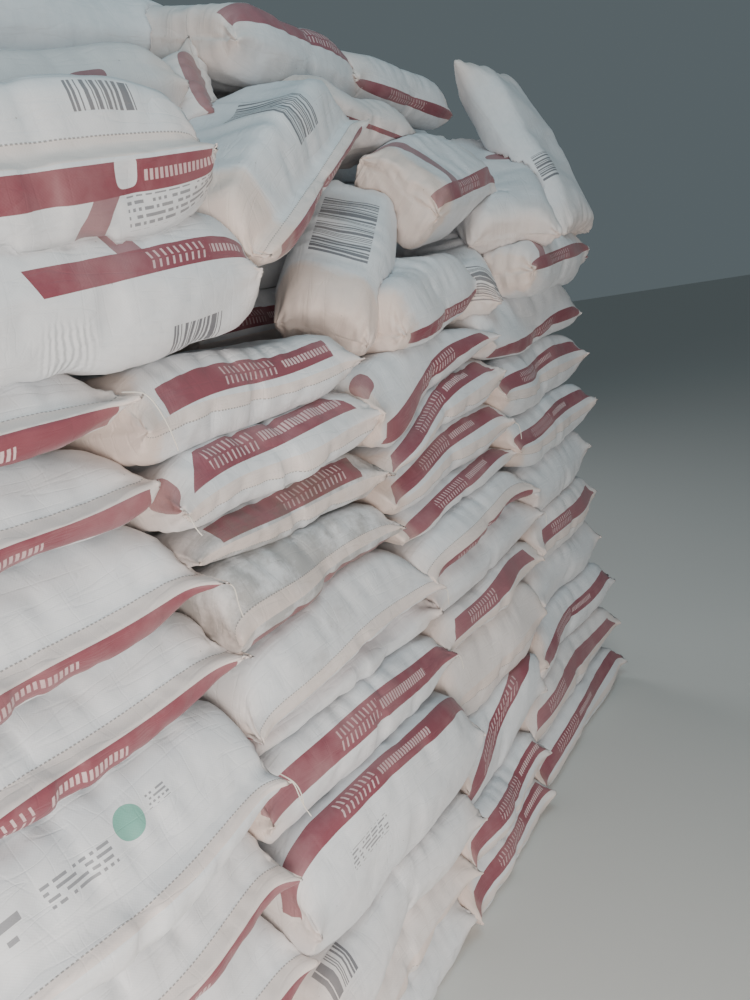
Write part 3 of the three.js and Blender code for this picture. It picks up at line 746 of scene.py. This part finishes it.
def simulateWrinkles(number, kind):
    rng = random.Random(number)
    start, u, v = shapeSack(slackCloth["size"], "near", hemmed=True)
    start = crumple(rng, start, u, v, True, sackForm["slack"])
    thing = buildMesh("slack_cloth", start, u, v)
    index, keep, _ = meshGrid(start.shape[:2])
    held = thing.vertex_groups.new(name="held")
    held.add(list(range(len(keep))), slackCloth["hold"], "REPLACE")
    seam = thing.vertex_groups.new(name="seam")
    toSeam = np.minimum(np.minimum(u, u[-1] - u)[keep[:, 0]], np.abs(v[keep[:, 1]] - sackForm["hem"]))
    for i, weight in enumerate(np.exp(-toSeam / slackCloth["seamReach"]).tolist()):
        seam.add([i], weight, "REPLACE")
    cloth = thing.modifiers.new("cloth", "CLOTH")
    settings = cloth.settings
    settings.quality = slackCloth["quality"]
    settings.mass = slackCloth["mass"]
    settings.tension_stiffness = settings.compression_stiffness = slackCloth["stretch"]
    settings.shear_stiffness = slackCloth["shear"]
    settings.bending_stiffness = kind["bending"]
    settings.vertex_group_shrink = "seam"
    settings.shrink_min = -kind["slack"]
    settings.shrink_max = slackCloth["drawn"]
    settings.vertex_group_mass = "held"
    settings.pin_stiffness = kind["pin"]
    settings.use_pressure = kind["pressure"] > 0
    settings.uniform_pressure_force = kind["pressure"]
    settings.effector_weights.gravity = 0
    scene = bpy.context.scene
    for step in range(1, slackCloth["frames"] + 1):
        scene.frame_set(step)
    done = thing.evaluated_get(bpy.context.evaluated_depsgraph_get())
    ends = np.empty(len(keep) * 3, np.float32)
    done.data.vertices.foreach_get("co", ends)
    moved = ends.reshape(-1, 3)[index] - start
    bpy.data.objects.remove(thing)
    scene.frame_set(1)
    out = smoothed((moved * gridNormals(start)).sum(axis=2), 1)
    return np.clip(out - smoothed(out, 60), -slackCloth["cap"], slackCloth["cap"])


for number, kind in enumerate(slackCloth["kinds"]):
    wrinkles.append(simulateWrinkles(number, kind))
deepest = [round(float(np.abs(layer).max()) / mm, 1) for layer in wrinkles]
print("wrinkles simulated, deepest in mm:", deepest)


laid = []  # the sacks laid so far, for the loose ones to lie on


def remember(thing):
    points = np.array([vertex.co for vertex in thing.data.vertices])
    tree = BVHTree.FromPolygons(points.tolist(), [tuple(face.vertices) for face in thing.data.polygons])
    laid.append((tree, points.min(axis=0), points.max(axis=0)))


def declare(thing, cadNode):
    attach(thing, "root")
    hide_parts(cadNode)
    remember(thing)


def seamAt(seam, z):
    return np.interp(z / mm, heights, seams[seam]) * mm


# Courses that settled unevenly: waves along the stack of these lengths and heights, all sacks alike
sway = {"lengths": (0.93, 0.41, 0.67), "up": 0.009, "out": 0.010, "ground": 0.25}


def swayed(x, y, z):
    firm = np.clip(z / sway["ground"], 0, 1)
    long, short, middle = (2 * math.pi / length for length in sway["lengths"])
    up = np.sin(long * x + 2.3 * z) + 0.5 * np.sin(short * x - 3.1 * z + 1.2)
    out = np.sin(middle * x + 5.7 * z + 0.7) + 0.6 * np.sin(long * x - 9.0 * z)
    free = np.clip(1 - y / (rowWidth / 2), 0, 1)
    return y - sway["out"] * out * firm * free, z + sway["up"] * up * firm * free


seamEnds = {}  # for each sack: at its near and far end, where the front corner's seam starts and its ear ends


def layCourse(name, cadNode, rng, bay, bottoms, tops, sides, cloth, grid, faces=1, ears=(1, 1), **form):
    # a sack in its place in a course: between two leaning seams, two sloping planes and two sides
    front, back = sides
    middle, height = (sum(tops) + sum(bottoms)) / 4, (sum(tops) - sum(bottoms)) / 2
    inset = stack["endGap"] / 2 * mm
    length = seamAt(bay + 1, middle) - seamAt(bay, middle) - 2 * inset
    hemmed = form.get("hemmed", False)
    places, u, v = shapeSack((length, back - front, height), grid, **form)
    places = crumple(rng, places, u, v, hemmed, sackForm["slack"])
    along = np.clip(faces * places[:, :, 0] / length + 0.5, 0, 1)
    share = np.clip(places[:, :, 2] / height + 0.5, 0, 1)
    low = bottoms[0] + (bottoms[1] - bottoms[0]) * along
    high = tops[0] + (tops[1] - tops[0]) * along
    z = low + (high - low) * share
    x = (seamAt(bay, z) + inset) * (1 - along) + (seamAt(bay + 1, z) - inset) * along
    y = (front + back) / 2 + faces * places[:, :, 1]  # faces -1 turns the free edge to the back of the stack
    y, z = swayed(x, y, z)
    square = np.stack([originX + x, originY + y, z], axis=2)
    world = pullEars(rng, square, (0,), ears)
    seamEnds[name] = [(square[station, 0], world[station, 0]) for station in (0, -1)]
    declare(buildMesh(name, world, u, v, cloths[cloth]), cadNode)


backCloths = ("plain", "stripeOver", "stripeUnder", "fadedStripe", "edgeStripe")

# How the sacks of each bay stand: how far the top and the underside slope to the free edge, the width of the
# ends, and the ears
bayForms = [
    {"slopes": (0.15, 0.05), "nose": 0.97, "hemmed": True, "ears": (1, 1.5)},
    {"slopes": (0.06, 0.05), "nose": 0.96, "ears": (1, 1)},
    {"slopes": (0.055, 0.05), "nose": 0.96, "ears": (1, 1)},
    {"slopes": (0.055, 0.05), "nose": 0.96, "ears": (1, 1)},
]


def layBays():
    for bay, courses in enumerate(bays):
        bottoms = (0.0, 0.0)
        for layer, course in enumerate(courses):
            cadNode = f"bay_{bay + 1}_course_{layer + 1:02d}"
            place = f"sack_bay_{bay + 1}_{layer + 1:02d}"
            tops, front, edge, cloth = course
            tops = tuple(z * mm for z in tops)
            lower = tuple(z + (gap if layer else 0) for z in bottoms)
            middle = rowWidth + front * mm / 2
            rng = random.Random(place)
            form = {**bayForms[bay], "edge": edge}
            form["ears"] = slackEars.get(f"{place}_front", form["ears"])
            layCourse(f"{place}_front", cadNode, rng, bay, lower, tops, (front * mm, middle - gap), cloth,
                      "near" if bay < 2 else "far", pressed=True, **form)
            layCourse(f"{place}_back", cadNode, rng, bay, lower, tops, (middle + gap, 2 * rowWidth),
                      rng.choice(backCloths), "hidden", faces=-1, pressed=True)
            bottoms = tops


def layUpperCourses():
    lower = [courses[-1][0] for courses in bays]
    sides = (rowWidth + stack["upperSetBack"] * mm, 2 * rowWidth)
    for layer, tops in enumerate(upperTops):
        for bay, top in enumerate(tops):
            rng = random.Random(f"upper {layer} {bay}")
            bottoms = tuple(z * mm + gap for z in lower[bay])
            layCourse(f"sack_upper_{layer + 1}_{bay + 1}", f"upper_course_{layer + 1}", rng, bay, bottoms,
                      (top * mm, top * mm), sides, rng.choice(backCloths), "far", faces=rng.choice((1, -1)))
        lower = [(top, top) for top in tops]


settling = {
    "aim": (0.75, 0.6, 0.0),  # cloth is pressed towards these shares of its own place along, across and up
    "air": 0.0006,
    "shallow": (0.001, 0.04),
    "facing": -0.5,
}


def settle(world, middle, axes):
    # cloth that would reach into a sack laid before is pressed back out of it, towards its own middle
    air, (least, most) = settling["air"], settling["shallow"]
    points = world.reshape(-1, 3)
    low, high = points.min(axis=0), points.max(axis=0)
    for tree, treeLow, treeHigh in laid:
        if (low > treeHigh).any() or (high < treeLow).any():
            continue
        inside = np.nonzero(((points >= treeLow) & (points <= treeHigh)).all(axis=1))[0]
        for i in inside:
            point = points[i]
            inward = middle + axes @ (axes.T @ (point - middle) * settling["aim"]) - point
            away = Vector(inward).normalized()
            hit, normal, _, _ = tree.ray_cast(Vector(point), away)
            if hit is not None and normal.dot(away) > 0:
                points[i] = hit + away * air
        for i in inside:  # what is left inside goes out the shortest way
            point = Vector(points[i])
            nearest, normal, _, depth = tree.find_nearest(point)
            if least < depth < most and (point - nearest).normalized().dot(normal) < settling["facing"]:
                points[i] = nearest + normal * air
    return points.reshape(world.shape)


def layLooseSacks():
    for number, sack in enumerate(looseSacks):
        name = f"sack_loose_{number + 1:02d}"
        rng = random.Random(name)
        size = [value * mm for value in sack["size"]]
        hemmed = clothKinds[sack["cloth"]].get("hem", 0) > 0
        places, u, v = shapeSack(size, "near", edge=sack["edge"], nose=sack["nose"], hemmed=hemmed)
        places = crumple(rng, places, u, v, hemmed, sackForm["looseSlack"])
        turn, rise, roll = (math.radians(angle) for angle in sack["turns"])
        axes = np.array(Euler([roll, -rise, turn], "XYZ").to_matrix())
        middle = np.array(sack["at"]) * mm + (originX, originY, 0)
        square = places @ axes.T + middle
        world = pullEars(rng, square, (0, len(v) // 2), sack["ears"])
        world = settle(world, middle, axes)
        seamEnds[name] = [(square[station, 0], world[station, 0]) for station in (0, -1)]
        declare(buildMesh(name, world, u, v, cloths[sack["cloth"]]), f"loose_sack_{number + 1:02d}")


layBays()
layUpperCourses()
layLooseSacks()
print("sacks laid:", len(laid))


# Polyester sewing thread: twisted from plies, and off-white. It reads as a soft matt line, drawn thicker than
# the real 1 mm so that it shows.
sewingThread = {
    "colour": "#d9d4cb",
    "roughness": 0.8,
    "diameter": 0.0022,
    "points": 18,
    "easing": 4,  # how many times its bends are rounded
    "clear": 1.3,  # how far its middle stands off the cloth, in diameters
    "near": 0.012,  # how close the cloth has to be for the thread to lie on it
    "bow": (0.3, 0.6),
}

# Loose ends of the closing seams: the sack and the end (0 near, 1 far) that each leaves, its length, and how
# far it drifts along the stack as it hangs
threads = [
    ("sack_bay_1_09_front", 1, 0.15, 0.045),
    ("sack_bay_1_07_front", 1, 0.11, 0.004),
    ("sack_bay_1_05_front", 1, 0.12, 0.030),
    ("sack_bay_1_05_front", 1, 0.09, 0.012),
    ("sack_bay_2_10_front", 0, 0.07, 0.028),
    ("sack_bay_2_07_front", 1, 0.06, -0.010),
    ("sack_bay_2_05_front", 1, 0.07, 0.012),
    ("sack_bay_3_09_front", 1, 0.08, 0.010),
    ("sack_bay_3_06_front", 1, 0.07, -0.012),
]


def makePlain(name, hexColour, roughness):
    material = bpy.data.materials.new(name)
    material.use_nodes = True
    shader = material.node_tree.nodes["Principled BSDF"]
    shader.inputs["Base Color"].default_value = linear(hexColour)
    shader.inputs["Roughness"].default_value = roughness
    return material


def clothDepth(x, z):
    # how far back the nearest cloth is, seen from in front of the stack
    depths = []
    for tree, low, high in laid:
        if low[0] < x < high[0] and low[2] < z < high[2]:
            hit = tree.ray_cast(Vector((x, -2.0, z)), Vector((0, 1, 0)))[0]
            if hit is not None:
                depths.append(hit.y)
    return min(depths, default=None)


def hangThread(name, ends, length, drift, material):
    # a thread that leaves the seam along the ear, and falls over whatever cloth it meets before the stack
    rng = random.Random(name)
    seam, tip = (Vector(place) for place in ends)
    steps = sewingThread["points"] - 1
    step = length / steps
    clear = sewingThread["clear"] * sewingThread["diameter"]
    route = [seam]
    onEar = round((tip - seam).length / step)
    for i in range(onEar):
        route.append(seam.lerp(tip, (i + 1) / onEar) - Vector((0, clear, 0)))
    bow = rng.uniform(*sewingThread["bow"]) * rng.choice((-1, 1))
    for i in range(onEar, steps):
        share = (i - onEar) / (steps - onEar)
        sideways = drift / length + bow * math.cos(math.pi * share) * 0.5
        fall = Vector((sideways, -0.5 * max(0.0, 0.25 - share), -1.0)).normalized() * step
        point = route[-1] + fall
        depth = clothDepth(point.x, point.z)
        if depth is not None and depth - clear < point.y + sewingThread["near"]:
            point.y += max(-step, min(step, depth - clear - point.y))
        route.append(point)
    for _ in range(sewingThread["easing"]):
        eased = [(a + 2 * b + c) / 4 for a, b, c in zip(route, route[1:], route[2:])]
        route = [route[0], *eased, route[-1]]
    curve = bpy.data.curves.new(name, "CURVE")
    curve.dimensions = "3D"
    curve.bevel_depth = sewingThread["diameter"] / 2
    curve.bevel_resolution = 2
    spline = curve.splines.new("POLY")
    spline.points.add(len(route) - 1)
    for place, point in zip(spline.points, route):
        place.co = (*point, 1)
    curve.materials.append(material)
    thing = bpy.data.objects.new(name, curve)
    bpy.context.scene.collection.objects.link(thing)
    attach(thing, "root")


threadMaterial = makePlain("sewing_thread", sewingThread["colour"], sewingThread["roughness"])
for number, (sack, end, length, drift) in enumerate(threads):
    hangThread(f"thread_{number + 1:02d}", seamEnds[sack][end], length, drift, threadMaterial)
print("threads hung")


# Studio: a plain pale floor and soft lights, each with its place, its aim, its size, its power and its colour
studio = {
    "floor": "#cfcfcc",
    "floorReach": 30,
    "world": "#b9cbd2",
    "worldStrength": 0.21,
    "lights": {
        "key": ((-2.1, -2.2, 1.0), (-0.8, -0.2, 0.7), 1.2, 82, "#fff4ea"),
        "top": ((-0.6, -1.5, 4.0), (0.0, 0.1, 1.6), 1.4, 36, "#c8e6ee"),
        "back": ((1.5, 4.0, 3.5), (0.0, 0.4, 1.2), 3.0, 90, "#ffffff"),
    },
}


def setStudio():
    floor = bpy.data.meshes.new("floor")
    reach = studio["floorReach"]
    square = [(-reach, -reach, 0), (reach, -reach, 0), (reach, reach, 0), (-reach, reach, 0)]
    floor.from_pydata(square, [], [(0, 1, 2, 3)])
    floor.materials.append(makePlain("plain_floor", studio["floor"], 0.9))
    thing = bpy.data.objects.new("floor", floor)
    thing.location.z = -0.001
    bpy.context.scene.collection.objects.link(thing)
    world = bpy.data.worlds.new("studio")
    world.use_nodes = True
    world.node_tree.nodes["Background"].inputs["Color"].default_value = linear(studio["world"])
    world.node_tree.nodes["Background"].inputs["Strength"].default_value = studio["worldStrength"]
    bpy.context.scene.world = world
    for name, (place, aim, size, power, colour) in studio["lights"].items():
        light = bpy.data.lights.new(name, "AREA")
        light.size = size
        light.energy = power
        light.color = linear(colour)[:3]
        lamp = bpy.data.objects.new(name, light)
        lamp.location = place
        lamp.rotation_euler = (Vector(aim) - Vector(place)).to_track_quat("-Z", "Y").to_euler()
        bpy.context.scene.collection.objects.link(lamp)


setStudio()
print("studio set")
